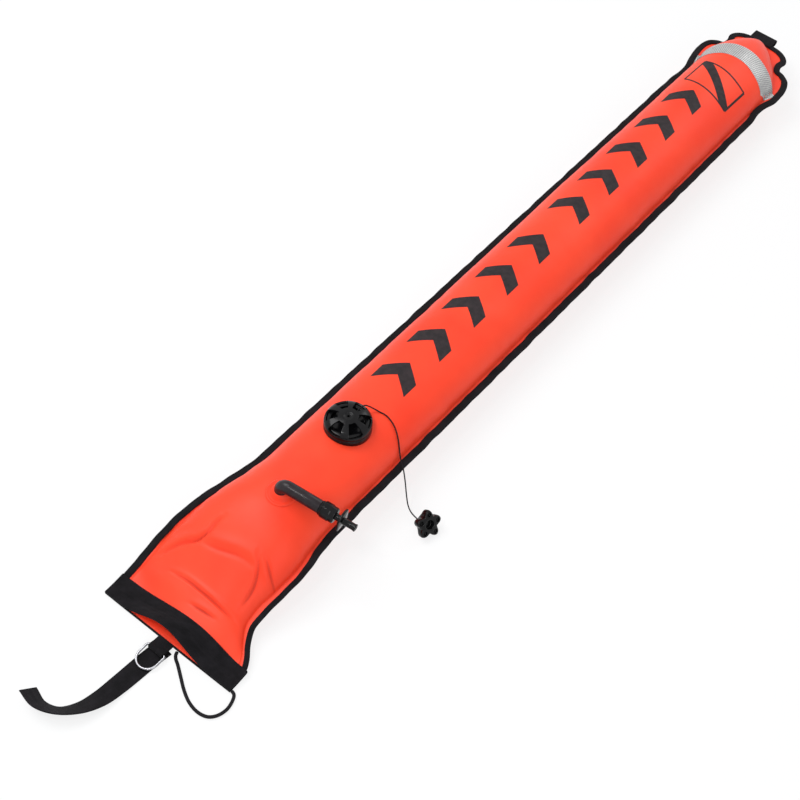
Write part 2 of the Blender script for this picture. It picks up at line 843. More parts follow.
def skinned(name, points, around, along, end_uvs):
    """A closed skin over rings of points. Its UVs run in metres round it and along it."""
    count = points.shape[1]
    shape = bmesh.new()
    layer = shape.loops.layers.uv.new("UVMap")
    rings = [[shape.verts.new(point) for point in ring] for ring in points]
    for i, (first, second) in enumerate(zip(rings, rings[1:])):
        for j in range(count):
            after = (j + 1) % count
            face = shape.faces.new((first[j], first[after], second[after], second[j]))
            for loop, (m, n) in zip(face.loops, [(j, i), (j + 1, i), (j + 1, i + 1), (j, i + 1)]):
                loop[layer].uv = (around[m], along[n])
    for ring, uvs in zip((rings[0], rings[-1]), end_uvs):
        face = shape.faces.new(ring)
        for loop, uv in zip(face.loops, uvs):
            loop[layer].uv = uv
    bmesh.ops.recalc_face_normals(shape, faces=shape.faces)
    shape.normal_update()
    bmesh.ops.triangulate(shape, faces=[face for face in shape.faces if len(face.verts) > 4])
    mesh = bpy.data.meshes.new(name)
    shape.to_mesh(mesh)
    shape.free()
    mesh.shade_smooth()
    mesh.set_sharp_from_angle(angle=radians(40))
    return in_scene(name, mesh)


def swept(name, path, outs, ups, section):
    """A closed section carried along a path."""
    section = np.array(section)
    points = path[:, None] + outs[:, None] * section[None, :, :1] + ups[:, None] * section[None, :, 1:]
    around = run_length(np.vstack([section, section[:1]]))
    along = run_length(path)
    end_uvs = [[(u, end + v) for u, v in section] for end in (along[0], along[-1])]
    return skinned(name, points, around, along, end_uvs)


def directions(path):
    """Which way a path runs at each of its points."""
    ahead = np.gradient(path, axis=0)
    return ahead / np.linalg.norm(ahead, axis=1)[:, None]


def leftwards(ahead):
    """Directions on the plan, square to those given."""
    return np.stack([-ahead[:, 1], ahead[:, 0]], axis=1)


def rounded_bar(width, thickness):
    """Section of a flat strap with rounded edges, centred."""
    radius = thickness / 2
    reach = width / 2 - radius
    turns = np.linspace(-90, 90, 7)
    right = [(reach + radius * cos(radians(a)), radius * sin(radians(a))) for a in turns]
    left = [(-reach - radius * cos(radians(a)), -radius * sin(radians(a))) for a in turns]
    return right + left


def folded_webbing(name, path, across, width):
    """A strap folded in one plane, whose width always lies across it."""
    outs = np.tile(across, (len(path), 1))
    ups = np.cross(outs, directions(path))
    return swept(name, path, outs, ups, rounded_bar(width, STRAP_THICKNESS))


def tube(name, path, radius, sides):
    """A round cord along a path, with closed ends."""
    ahead = directions(path)
    up = np.tile(np.array([0.0, 0.0, 1.0]), (len(path), 1))
    outs = np.cross(ahead, up)
    small = np.linalg.norm(outs, axis=1) < 0.2
    outs[small] = np.cross(ahead[small], np.array([1.0, 0.0, 0.0]))
    outs /= np.linalg.norm(outs, axis=1)[:, None]
    ups = np.cross(outs, ahead)
    turns = np.arange(sides) * 2 * pi / sides
    section = [(radius * cos(t), radius * sin(t)) for t in turns]
    return swept(name, path, outs, ups, section)


def lathe(name, profile, steps):
    """Turns a profile of (radius, height) points round the Z axis with Spin."""
    bpy.ops.object.select_all(action="DESELECT")
    bpy.context.tool_settings.mesh_select_mode = (True, False, False)
    bpy.ops.mesh.primitive_plane_add(size=0.01, location=(0, 0, 0))
    piece = bpy.context.active_object
    piece.name = name
    bpy.ops.object.mode_set(mode="EDIT")
    bpy.ops.mesh.select_all(action="SELECT")
    bpy.ops.mesh.merge(type="CENTER")
    bpy.ops.transform.translate(value=(profile[0][0], 0, profile[0][1]))
    for (near, low), (far, high) in zip(profile, profile[1:]):
        bpy.ops.mesh.extrude_region_move(TRANSFORM_OT_translate={"value": (far - near, 0, high - low)})
    bpy.ops.mesh.select_all(action="SELECT")
    bpy.ops.mesh.spin(steps=steps, angle=2 * pi, center=(0, 0, 0), axis=(0, 0, 1))
    bpy.ops.mesh.select_all(action="SELECT")
    bpy.ops.mesh.remove_doubles(threshold=1e-5)
    bpy.ops.mesh.normals_make_consistent(inside=False)
    bpy.ops.mesh.select_mode(type="FACE")
    bpy.ops.mesh.select_all(action="DESELECT")
    bpy.ops.object.mode_set(mode="OBJECT")
    return piece


def placed(piece, spot, along=(0, 0, 1), spin=0.0):
    """Turns a piece about its own Z axis, lays that along a direction, and moves it to its spot."""
    way = Vector(along).normalized()
    level = Vector((-way.y, way.x, 0))
    level = level.normalized() if level.length > 1e-6 else Vector((1, 0, 0))
    turn = Matrix((level, way.cross(level), way)).transposed()
    piece.rotation_euler = (turn @ Matrix.Rotation(spin, 3, "Z")).to_euler()
    piece.location = spot
    alone(piece)
    bpy.ops.object.transform_apply(location=True, rotation=True, scale=True)
    return piece


def cut(piece, tool):
    """Takes the tool's shape out of the piece."""
    apply_modifier(piece, "BOOLEAN", object=tool, operation="DIFFERENCE", solver="EXACT")
    bpy.data.objects.remove(tool)


def soften(piece, width, limit=40, segments=2):
    """Rounds the sharp edges and shades the rest smooth."""
    apply_modifier(
        piece, "BEVEL", width=width, segments=segments, limit_method="ANGLE", angle_limit=radians(limit)
    )
    alone(piece)
    bpy.ops.object.shade_smooth_by_angle(angle=radians(limit))


def refined(node, name):
    """A merged copy of a CAD node, to be finished in its place."""
    source = frame["nodes"][node]
    mesh = source.data.copy()
    mesh.transform(source.matrix_world)
    piece = in_scene(name, mesh)
    alone(piece)
    bpy.ops.object.mode_set(mode="EDIT")
    bpy.ops.mesh.select_all(action="SELECT")
    bpy.ops.mesh.remove_doubles(threshold=1e-5)
    bpy.ops.mesh.dissolve_limited(angle_limit=radians(0.5))
    bpy.ops.object.mode_set(mode="OBJECT")
    return piece


def stands_for(piece, node, body, made):
    """Gives a piece its finish, and puts it in the place of its CAD node."""
    put_on(piece, made)
    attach(piece, body)
    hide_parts(node)


def steel_wire(node, name, body):
    """A bent wire in the place of its CAD node, smooth but for its cut ends."""
    piece = refined(node, name)
    alone(piece)
    bpy.ops.object.shade_smooth_by_angle(angle=radians(60))
    stands_for(piece, node, body, once(stainless_steel))
    return piece


# Form of the bag


def seam_height(y):
    """Height of the seam, which sinks to the ground at the mouth."""
    s = y - MOUTH_Y
    return LIP_HEIGHT + (SEAM_HEIGHT - LIP_HEIGHT) * step(s, 0, SEAM_SINK)


def bow_height(y):
    """How far the front cloth stands above the seam."""
    s = y - MOUTH_Y
    return LIP_BOW + (TUBE_BOW - LIP_BOW) * step(s, 0, FRONT_SINK)


def back_drop(y):
    """How far the back cloth hangs below the seam."""
    s = y - MOUTH_Y
    on_band = WEBBING + FLOOR_GAP
    pressed = -FLOOR_PRESS * step(s, BAND_END, SEAM_SINK)
    low = on_band + (pressed - on_band) * step(s, BAND_END, BAND_DEPTH)
    return seam_height(y) - LAYER - low


def fullness(y, front=True):
    """Power of the cross-section: a soft peak at the front lip, then a flat bow, round in the tube."""
    s = y - MOUTH_Y
    peak = LIP_PEAK_POWER * (1 - step(s, 0, LIP_PEAK_LENGTH)) if front else 0.0
    return 2.0 - step(s, 0, SEAM_SINK) + peak


def peak_place(y):
    """How far right of the middle the front cloth is highest."""
    s = y - MOUTH_Y
    near = LIP_PEAK_X + (CREST_X - LIP_PEAK_X) * step(s, 0, CREST_START)
    return near * (1 - step(s, CREST_START, CREST_LENGTH))


def setback(y):
    """How far the middle of the front lip is drawn back from the mouth's corners."""
    return LIP_SETBACK * (1 - step(y - MOUTH_Y, 0, LIP_SETBACK_LENGTH))


def flare(y, side):
    """Half the bag's width on one side, wide at the mouth and even in the tube."""
    start, length = FLARES[side]
    s = y - MOUTH_Y
    hip = RIGHT_HIP * (1 - step(np.abs(s - RIGHT_HIP_PLACE), 0, RIGHT_HIP_LENGTH)) if side > 0 else 0.0
    return MOUTH_EDGE + (TUBE_EDGE - MOUTH_EDGE) * step(s, start, length) + hip


def cloth_edge(y, side):
    """Half the width of the flat cloth on one side, with the waist and the ears of the head."""
    waist_y = HEAD_Y - WAIST_BELOW_HEAD
    waist = WAIST_DEPTH * (1 - step(np.abs(y - waist_y), 0, WAIST_LENGTH))
    ear = (HEAD_OUTLINE[-1][0] - TUBE_EDGE) * step(y, waist_y, HEAD_Y - EAR_END - waist_y)
    return flare(y, side) - waist + ear


def lean(y):
    """How far right the head leans, below 0 for left."""
    return HEAD_LEAN * step(y, HEAD_Y - HEAD_LEAN_LENGTH, HEAD_LEAN_LENGTH)


def bulge_edge(y, side):
    """Half the width of the bow on one side, where the cloth leaves the seam."""
    start = HEAD_Y - PILLOW_GAP - PILLOW_LENGTH
    share = step(y, start, HEAD_Y - EAR_END - start)
    tube_edge = flare(y, side) - FLANGE
    return tube_edge + (PILLOW_HALF_WIDTH - tube_edge) * share


def pillow_line(turn):
    """Where the bow ends at the head, for a turn round the tube."""
    return HEAD_Y - PILLOW_GAP - PILLOW_DROP * np.abs(np.cos(turn)) ** PILLOW_POWER


def cloth_top(x, y):
    """Height of the front cloth in the mouth and the tube."""
    side = -1 if x < 0 else 1
    across = max(0.0, 1 - (x / bulge_edge(y, side)) ** 2)
    return float(seam_height(y) + LAYER + bow_height(y) * across ** (fullness(y) / 2))


def bag_rows():
    """Rows of the bag as (y in the tube, how far the head has closed), closest together at the mouth."""
    tube_end = HEAD_Y - PILLOW_GAP - PILLOW_LENGTH
    mouth_end = MOUTH_Y + FINE_LENGTH
    near = np.linspace(MOUTH_Y, mouth_end, FINE_ROWS)
    far = np.linspace(mouth_end, tube_end, TUBE_ROWS)[1:]
    cap = np.linspace(0, radians(90), CAP_ROWS)[1:]
    ys = np.concatenate([near, far, np.full(len(cap), tube_end)])
    caps = np.concatenate([np.zeros(len(near) + len(far)), cap])
    return ys, caps


def bell(values, middle, width):
    """1 at the middle, and soon nothing beyond the width."""
    return np.exp(-(((values - middle) / width) ** 2))


def pleats(ys, turns, seed, height):
    """Small gathers that run in from both seams and die out on the crown."""
    chance = np.random.default_rng(seed)
    lift = np.zeros((len(ys), len(turns)))
    for side_turn in (pi, 0.0):
        for _ in range(PLEATS_ON_A_SIDE):
            middle = chance.uniform(*PLEAT_SPAN)
            width = chance.uniform(*PLEAT_WIDTHS)
            reach = chance.uniform(*PLEAT_REACHES)
            size = height * chance.uniform(-1.0, 1.0)
            lift += size * bell(ys, middle, width)[:, None] * bell(turns, side_turn, reach)[None, :]
    return lift


def swells(ys, turns):
    """Long soft dents and swells of a tube that isn't fully blown up."""
    chance = np.random.default_rng(SWELL_SEED)
    lift = np.zeros((len(ys), len(turns)))
    for _ in range(SWELLS):
        middle = chance.uniform(*SWELL_SPAN)
        at = chance.uniform(*SWELL_TURNS)
        width = chance.uniform(*SWELL_WIDTHS)
        reach = chance.uniform(*SWELL_REACHES)
        size = SWELL_HEIGHT * chance.uniform(-1.0, 1.0)
        lift += size * bell(ys, middle, width)[:, None] * bell(turns, at, reach)[None, :]
    return lift


def fold_lift(x, y):
    """Lift of the cloth at its folds, a groove with a ridge beside it, and how deep in a crease it is."""
    lift = np.zeros_like(x)
    crease = np.zeros_like(x)
    for points, depth, width, ridge in FOLDS:
        path = smooth_path(points, FOLD_STEPS)
        share = run_length(path) / run_length(path)[-1]
        best = np.full(x.shape, 1.0)
        across = np.zeros_like(x)
        at = np.zeros_like(x)
        for k in range(len(path) - 1):
            start, way = path[k], path[k + 1] - path[k]
            reach = np.clip(((x - start[0]) * way[0] + (y - start[1]) * way[1]) / (way @ way), 0, 1)
            dx = x - start[0] - reach * way[0]
            dy = y - start[1] - reach * way[1]
            far = np.hypot(dx, dy)
            near = far < best
            best = np.where(near, far, best)
            side = np.sign(way[0] * dy - way[1] * dx)
            across = np.where(near, side * far, across)
            at = np.where(near, share[k] + reach * (share[k + 1] - share[k]), at)
        fade = np.sin(pi * np.clip(at, FOLD_TIP, 1 - FOLD_TIP)) ** FOLD_FADE_POWER
        groove = fade * bell(best, 0.0, width)
        lift -= depth * groove
        crease = np.maximum(crease, groove * min(1.0, CREASE_WIDTH / width))
        beside = across - np.sign(ridge) * RIDGE_OFFSET * width
        lift += abs(ridge) * fade * bell(beside, 0.0, RIDGE_WIDTH * width)
    return lift, crease


def lay_flanges(row, y, cap, seam_layer):
    """Lays the flat cloth between the bow and the seam, at both ends of one row."""
    end = HEAD_Y - EAR_END
    edge_y = min(y + (end - y) * sin(cap), end)
    for side, inner in ((-1, row[FLANGE_COLUMNS]), (1, row[-1 - FLANGE_COLUMNS])):
        outer = np.array([side * cloth_edge(edge_y, side) + lean(edge_y), edge_y, 0.0])
        for k in range(FLANGE_COLUMNS):
            spot = outer + (inner - outer) * (k / FLANGE_COLUMNS)
            row[k if side < 0 else -1 - k] = (spot[0], spot[1], seam_height(spot[1]) + seam_layer)


def cloth_grid(front):
    """Points, UVs and creases of one cloth, from the left seam to the right and from mouth to head."""
    ys, caps = bag_rows()
    turns = np.linspace(pi, 0, BOW_COLUMNS)
    if front:
        lift = swells(ys, turns) + pleats(ys, turns, FRONT_PLEAT_SEED, FRONT_PLEAT_HEIGHT)
    else:
        lift = pleats(ys, turns, BACK_PLEAT_SEED, BACK_PLEAT_HEIGHT)
    grown = step(ys, MOUTH_Y + CALM_MOUTH, CALM_GROWS)
    lift = lift * (grown[:, None] * np.sin(np.clip(turns, 0.0, pi))[None, :] ** CALM_SEAM_POWER)
    bowed = slice(FLANGE_COLUMNS, -FLANGE_COLUMNS)
    points = np.zeros((len(ys) + RIM_ROWS, len(turns) + 2 * FLANGE_COLUMNS, 3))
    creases = np.zeros(points.shape[:2])
    seam_layer = SEAM_LAYER if front else -SEAM_LAYER
    for i, (y, cap) in enumerate(zip(ys, caps)):
        at = y + (pillow_line(turns) - y) * sin(cap)
        sides = np.where(np.cos(turns) < 0, -1, 1)
        edge = np.where(sides < 0, bulge_edge(at, -1), bulge_edge(at, 1))
        raised = lift[i] * cos(cap)
        x = (edge + raised) * np.cos(turns) + lean(at)
        bow = np.abs(np.sin(turns)) ** fullness(at, front) * cos(cap)
        layer = SEAM_LAYER + (LAYER - SEAM_LAYER) * np.sin(turns) ** 0.5 * cos(cap)
        if front:
            z = seam_height(at) + layer + (bow_height(at) + raised) * bow
            x = x + peak_place(at) * np.sin(turns) ** 2
            at = at + setback(at) * bow
            folded, creased = fold_lift(x, at)
            z = z + folded * np.abs(np.sin(turns)) ** 0.5
            creases[i, bowed] = creased
        else:
            z = seam_height(at) - layer - (back_drop(at) + raised) * bow
            z = np.maximum(FLOOR_GAP, z)
        points[i, bowed] = np.stack([x, at, z], axis=1)
        lay_flanges(points[i], y, cap, seam_layer)
    rim = head_rim(points.shape[1])
    last = points[len(ys) - 1]
    for k in range(RIM_ROWS):
        share = (k + 1) / RIM_ROWS
        row = last + (rim - last) * share
        row[:, 2] = seam_height(row[:, 1]) + seam_layer
        points[len(ys) + k] = row
    gaps = np.linalg.norm(np.diff(points, axis=1), axis=2)
    u = np.concatenate([np.zeros((points.shape[0], 1)), np.cumsum(gaps, axis=1)], axis=1)
    u -= u[:, -1:] / 2
    middle = points.shape[1] // 2
    v = np.repeat(run_length(points[:, middle])[:, None], points.shape[1], axis=1)
    return points, np.stack([u, v], axis=2), creases


def head_rim(count):
    """Points on the cloth's edge over the head, from the left ear to the right one."""
    right = [(x, HEAD_Y - drop) for x, drop in HEAD_OUTLINE]
    left = [(-x, y) for x, y in reversed(right[1:])]
    fine = smooth_path(left + right, 12)
    lengths = run_length(fine)
    wanted = np.linspace(0, lengths[-1], count)
    xs = np.interp(wanted, lengths, fine[:, 0])
    ys = np.interp(wanted, lengths, fine[:, 1])
    return np.stack([xs + lean(ys), ys, np.zeros(count)], axis=1)


def seam_path(spacing):
    """The cloth's edge from the left of the mouth, over the head, to the right of it."""
    ys = np.arange(MOUTH_Y + BINDING_START, HEAD_Y - EAR_END, spacing)
    left = [(float(-cloth_edge(y, -1) + lean(y)), y) for y in ys]
    right = [(float(cloth_edge(y, 1) + lean(y)), y) for y in ys]
    rim = [(x, y) for x, y, _ in head_rim(RIM_POINTS)]
    return np.array(left + rim + right[::-1])


def drop_on(tree, x, y, lift):
    """The point on the cloth below this place, raised a little off it."""
    spot, normal, _, _ = tree.ray_cast(Vector((x, y, 0.5)), Vector((0, 0, -1)))
    if spot is None:
        raise ValueError(f"no cloth below {x:.4f}, {y:.4f}")
    if normal.z < 0:
        normal = -normal
    return spot + normal * lift


def cloth_tree():
    """The front cloth as it is now, for drop_on."""
    front = bpy.data.objects["bag_front"]
    return BVHTree.FromPolygons(
        [vertex.co for vertex in front.data.vertices], [face.vertices[:] for face in front.data.polygons]
    )


def laid_strip(name, middle_line, width, lift, columns, tree):
    """A flat strip laid on the cloth along a line on the plan, with UVs in metres."""
    path = np.array(middle_line)
    outs = leftwards(directions(path))
    points = np.zeros((len(path), columns, 3))
    for i in range(len(path)):
        for j, share in enumerate(np.linspace(-0.5, 0.5, columns)):
            x, y = path[i] + outs[i] * width * share
            points[i, j] = drop_on(tree, x, y, lift)
    v = np.repeat(run_length(points[:, columns // 2])[:, None], columns, axis=1)
    u = np.repeat((np.linspace(-0.5, 0.5, columns) * width)[None, :], len(path), axis=0)
    return grid_piece(name, points, np.stack([u, v], axis=2))


def laid_outline(name, corners, lift, tree):
    """A flat printed shape, cut out on the plan from a fine grid and dropped on the cloth."""
    shape = bmesh.new()
    outline = [shape.verts.new((x, y, 0)) for x, y in corners]
    shape.faces.new(outline)
    for axis, values in zip((Vector((1, 0, 0)), Vector((0, 1, 0))), zip(*corners)):
        for place in np.arange(min(values) + PRINT_CELL, max(values), PRINT_CELL):
            geometry = shape.verts[:] + shape.edges[:] + shape.faces[:]
            bmesh.ops.bisect_plane(shape, geom=geometry, plane_co=axis * place, plane_no=axis)
    for vertex in shape.verts:
        vertex.co = drop_on(tree, vertex.co.x, vertex.co.y, lift)
    bmesh.ops.recalc_face_normals(shape, faces=shape.faces)
    mesh = bpy.data.meshes.new(name)
    shape.to_mesh(mesh)
    shape.free()
    if mesh.polygons[0].normal.z < 0:
        mesh.flip_normals()
    mesh.shade_smooth()
    return in_scene(name, mesh)


def joined(name, pieces):
    """Joins pieces into one object with this name."""
    bpy.ops.object.select_all(action="DESELECT")
    for piece in pieces:
        piece.select_set(True)
    bpy.context.view_layer.objects.active = pieces[0]
    bpy.ops.object.join()
    pieces[0].name = name
    return pieces[0]


# Properties


def shade(name, description, code):
    """A colour property from its hex code."""
    return FloatVectorProperty(name=name, description=description, subtype="COLOR", default=linear(code))


class BuoyColours(bpy.types.PropertyGroup):
    """Colours of the buoy's materials."""

    cloth: shade("Cloth", "Fluorescent orange of the bag", "FF4A2C")
    cloth_deep: shade("Deep cloth", "Deeper orange in the cloth's mottling", "F83E22")
    cloth_crease: shade("Crease", "Darker orange at the bottom of a crease", "B3240F")
    lining: shade("Lining", "Inner flaps of the mouth", "E8453A")
    lining_deep: shade("Deep lining", "Deeper shade of the lining", "CC3026")
    webbing: shade("Webbing", "Black yarn of webbing and binding", "131214")
    webbing_worn: shade("Worn webbing", "Lighter fibres on the yarn", "1E1C1F")
    ink: shade("Print", "Dark ink of the marks and the flag", "221D1F")
    ink_worn: shade("Thin print", "Ink where it lies thinly", "30282A")
    silver: shade("Tape", "Silver of the reflective tape", "D2D2D0")
    silver_dull: shade("Dull tape", "Rubbed places on the tape", "BEBDBB")
    silver_net: shade("Tape net", "Dark net over the reflective tape", "5C5C60")
    plastic: shade("Plastic", "Black moulded plastic", "070708")
    plastic_worn: shade("Worn plastic", "Handled places on the plastic", "101012")
    rubber: shade("Rubber", "Dark grey moulded rubber", "241C1F")
    rubber_worn: shade("Worn rubber", "Dusty places on the rubber", "2B2629")
    steel: shade("Steel", "Polished stainless steel", "A6A6AA")
    steel_dull: shade("Dull steel", "Handled steel", "838388")
    backdrop: shade("Floor", "Pale studio floor", "F4F4F4")


class BuoySizes(bpy.types.PropertyGroup):
    """Sizes of trim that only the looks use."""

    binding_width: FloatProperty(
        name="Binding width", description="Width of the folded edge tape", default=0.0076, unit="LENGTH"
    )
    binding_gather: FloatProperty(
        name="Binding gather", description="How far the sewn edge wavers", default=0.00045, unit="LENGTH"
    )
    print_lift: FloatProperty(
        name="Print lift", description="Thickness of the print on the cloth", default=0.00012, unit="LENGTH"
    )
    tape_lift: FloatProperty(
        name="Tape lift", description="Thickness of the reflective tape", default=0.00035, unit="LENGTH"
    )


# Operators


class BUOY_OT_stage(bpy.types.Operator):
    """Pale floor, soft studio lamps and the camera of the photograph."""

    bl_idname = "buoy.stage"
    bl_label = "Stage and camera"

    def execute(self, context):
        scene = context.scene
        scene.view_settings.view_transform = "Standard"
        self.camera(scene)
        self.world(scene)
        self.floor()
        self.lamps(scene)
        return {"FINISHED"}

    def camera(self, scene):
        data = bpy.data.cameras.new("studio_camera")
        data.lens = CAMERA_LENS
        data.sensor_width = CAMERA_SENSOR
        camera = bpy.data.objects.new("studio_camera", data)
        camera.location = CAMERA_PLACE
        way = Vector(CAMERA_TARGET) - Vector(CAMERA_PLACE)
        level = way.to_track_quat("-Z", "Y")
        camera.rotation_euler = (level @ Quaternion((0, 0, 1), CAMERA_ROLL)).to_euler()
        scene.collection.objects.link(camera)
        scene.camera = camera

    def seen_directly(self, tree):
        """1 where the eye, a reflection or glass sees the background, 0 where it lights the object."""
        rays = add_node(tree, "ShaderNodeLightPath")
        seen = rays.outputs["Is Camera Ray"]
        for kind in ("Is Glossy Ray", "Is Transmission Ray"):
            both = {0: seen, 1: rays.outputs[kind]}
            seen = add_node(tree, "ShaderNodeMath", both, operation="MAXIMUM").outputs[0]
        return seen

    def world(self, scene):
        world = bpy.data.worlds.new("studio_world")
        world.use_nodes = True
        tree = world.node_tree
        tree.nodes.clear()
        seen = self.seen_directly(tree)
        sky = add_node(tree, "ShaderNodeBackground", {"Color": SKY, "Strength": SKY_STRENGTH})
        white = add_node(tree, "ShaderNodeBackground", {"Color": WHITE, "Strength": 1.0})
        mix = add_node(tree, "ShaderNodeMixShader", {"Fac": seen, 1: sky.outputs[0], 2: white.outputs[0]})
        add_node(tree, "ShaderNodeOutputWorld", {"Surface": mix.outputs[0]})
        scene.world = world

    def floor(self):
        bpy.ops.mesh.primitive_plane_add(size=FLOOR_SIZE, location=(0, 0, -FLOOR_DROP))
        floor = bpy.context.active_object
        floor.name = "studio_floor"
        made = bpy.data.materials.new("studio_paper")
        made.use_nodes = True
        tree = made.node_tree
        tree.nodes.clear()
        seen = self.seen_directly(tree)
        paper = add_node(tree, "ShaderNodeBsdfDiffuse", {"Color": (*colours().backdrop, 1)})
        glow = add_node(tree, "ShaderNodeEmission", {"Color": WHITE, "Strength": 1.0})
        share = add_node(tree, "ShaderNodeMath", {0: seen, 1: FLOOR_GLOW}, operation="MULTIPLY")
        both = {"Fac": share.outputs[0], 1: paper.outputs[0], 2: glow.outputs[0]}
        mix = add_node(tree, "ShaderNodeMixShader", both)
        add_node(tree, "ShaderNodeOutputMaterial", {"Surface": mix.outputs[0]})
        put_on(floor, made)

    def lamps(self, scene):
        for name, place, size, power in LAMPS:
            data = bpy.data.lights.new(name, "AREA")
            data.size = size
            data.energy = power
            lamp = bpy.data.objects.new(name, data)
            lamp.location = place
            way = Vector(LAMP_TARGET) - Vector(place)
            lamp.rotation_euler = way.to_track_quat("-Z", "Y").to_euler()
            scene.collection.objects.link(lamp)


class BUOY_OT_cords(bpy.types.Operator):
    """Pull cord from the valve to its knob, and the bungee loop at the mouth."""

    bl_idname = "buoy.cords"
    bl_label = "Pull cord and bungee"

    def execute(self, context):
        sheath = once(braided_sheath)
        route = even_path(CORD_ROUTE, CORD_SPACING)
        cord = tube("pull_line", route, CORD_DIAMETER / 2, 10)
        stands_for(cord, "pull_cord", "bag", sheath)
        ground = [(x, y, BUNGEE_DIAMETER / 2) for x, y in BUNGEE_ROUTE]
        route = even_path(ground, BUNGEE_SPACING)
        bungee = tube("mouth_bungee", route, BUNGEE_DIAMETER / 2, 16)
        stands_for(bungee, "bungee_loop", "bag", sheath)
        return {"FINISHED"}


class BUOY_OT_cloth(bpy.types.Operator):
    """Front and back cloth of the bag, with its folds, gathers and soft swells."""

    bl_idname = "buoy.cloth"
    bl_label = "Bag cloth"

    def execute(self, context):
        for name, node, front in (("bag_front", "front_panel", True), ("bag_back", "back_panel", False)):
            points, uvs, creases = cloth_grid(front)
            piece = grid_piece(name, points, uvs)
            layer = piece.data.attributes.new("crease", "FLOAT", "POINT")
            layer.data.foreach_set("value", creases.ravel())
            if front:
                self.open_holes(piece)
            else:
                piece.data.flip_normals()
            apply_modifier(piece, "SOLIDIFY", thickness=CLOTH, offset=-1.0)
            stands_for(piece, node, "bag", once(coated_nylon_orange))
        return {"FINISHED"}

    def open_holes(self, piece):
        """Takes out the cloth inside the valve's neck and the inflator's foot."""
        shape = bmesh.new()
        shape.from_mesh(piece.data)
        gone = []
        for face in shape.faces:
            middle = face.calc_center_median()
            in_valve = (middle.x**2 + (middle.y - VALVE_Y) ** 2) < (VALVE_HOLE - HOLE_LIP) ** 2
            in_foot = ((middle.x - FOOT[0]) ** 2 + (middle.y - FOOT[1]) ** 2) < FOOT_HOLE**2
            if in_valve or in_foot:
                gone.append(face)
        bmesh.ops.delete(shape, geom=gone, context="FACES")
        shape.to_mesh(piece.data)
        shape.free()


class BUOY_OT_lining(bpy.types.Operator):
    """The two inner flaps that close the mouth when the bag is full."""

    bl_idname = "buoy.lining"
    bl_label = "Mouth lining"

    def execute(self, context):
        for name, node in (("lining_front", "front_flap"), ("lining_back", "back_flap")):
            low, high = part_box(node)
            front = node == "front_flap"
            side = 1 if front else -1
            corner = radians(LINING_CORNER)
            turns = np.linspace(pi - corner, corner, LINING_COLUMNS)
            rows = np.linspace(0, 1, LINING_ROWS)
            points = np.zeros((len(rows), len(turns), 3))
            for i, share in enumerate(rows):
                y = low.y + (high.y - low.y) * share
                keep = 1 - LINING_CLOSED * float(step(share))
                bow = bow_height(y) if front else -back_drop(y)
                seam = seam_height(y) + side * LINING_SEAM
                gap = LINING_GAP + LINING_SLACK * float(step(y - MOUTH_Y, *LINING_SLACKENS))
                cloth = seam_height(y) + side * (LAYER - gap) + bow * np.sin(turns) ** fullness(y, front)
                waves = np.sin(turns * LINING_WAVES + share * LINING_DRIFT)
                ripple = LINING_RIPPLE * waves * (1 - keep)
                points[i, :, 0] = LINING_WIDTH * bulge_edge(y, 1) * np.cos(turns)
                points[i, :, 1] = y
                points[i, :, 2] = seam + (cloth - seam) * keep + ripple
            v = np.repeat(rows[:, None] * (high.y - low.y), len(turns), axis=1)
            piece = grid_piece(name, points, np.stack([points[:, :, 0], v], axis=2))
            apply_modifier(piece, "SOLIDIFY", thickness=CLOTH, offset=0.0)
            stands_for(piece, node, "bag", once(coated_nylon_lining))
        return {"FINISHED"}


